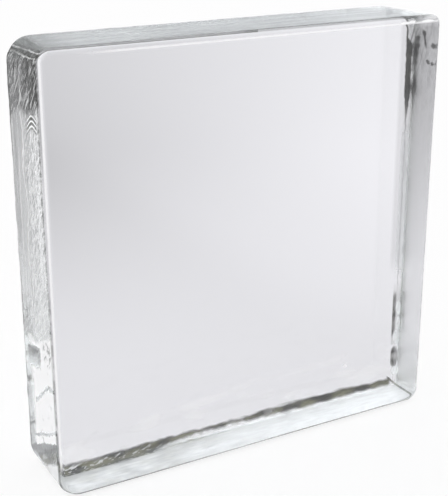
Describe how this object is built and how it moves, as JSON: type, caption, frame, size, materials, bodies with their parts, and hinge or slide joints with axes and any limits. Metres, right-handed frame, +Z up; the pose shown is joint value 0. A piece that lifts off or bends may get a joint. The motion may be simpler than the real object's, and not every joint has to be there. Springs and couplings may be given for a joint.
{
  "type": "glass block",
  "caption": "Solid square block of clear pressed glass with rounded corners and soft rims, laid in walls, windows and floors to let light through.",
  "frame": {"origin": "middle of the side that the block stands on, at floor level", "axes": "+X across the face, +Y through the thickness from the front face to the back face, +Z up the face"},
  "size_m": [0.194, 0.038, 0.194],
  "materials": {
    "clear_glass": "clear, smooth fire-polished faces, rippled chill-marked sides"
  },
  "bodies": {
    "root": {"glass_block": "clear_glass"}
  },
  "joints": []
}
